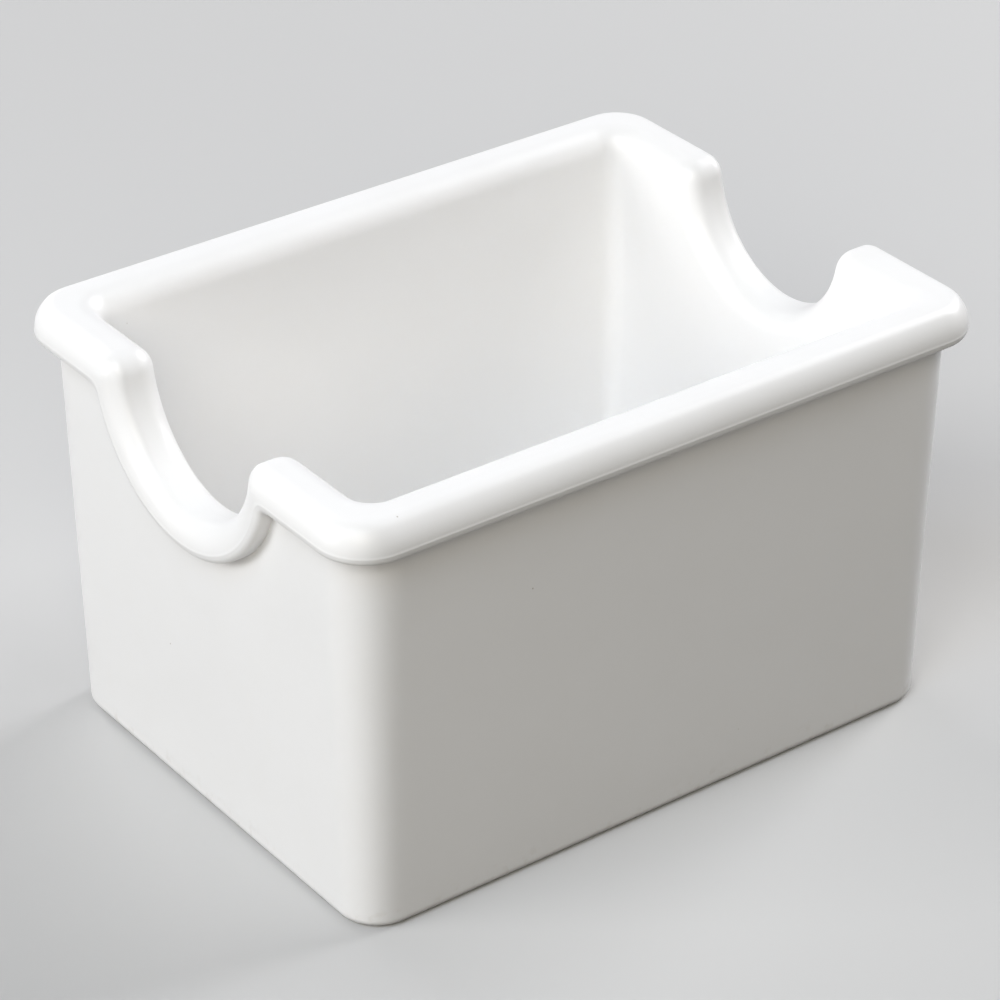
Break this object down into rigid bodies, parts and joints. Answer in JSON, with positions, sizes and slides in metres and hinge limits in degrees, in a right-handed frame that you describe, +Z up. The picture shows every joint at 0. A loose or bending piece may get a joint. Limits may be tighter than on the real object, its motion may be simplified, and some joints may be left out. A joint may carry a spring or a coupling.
{
  "type": "sugar packet holder",
  "caption": "Rectangular one-piece moulded tub that stores sugar packets on a table, with a rolled rim and a finger scoop in each short wall.",
  "frame": {"origin": "middle of the base, on the table", "axes": "+X along the long side, towards one finger scoop, +Y across the tub, +Z up out of the open top"},
  "size_m": [0.1046, 0.0798, 0.0635],
  "materials": {
    "white_plastic": "gloss"
  },
  "bodies": {
    "root": {"holder": "white_plastic"}
  },
  "joints": []
}
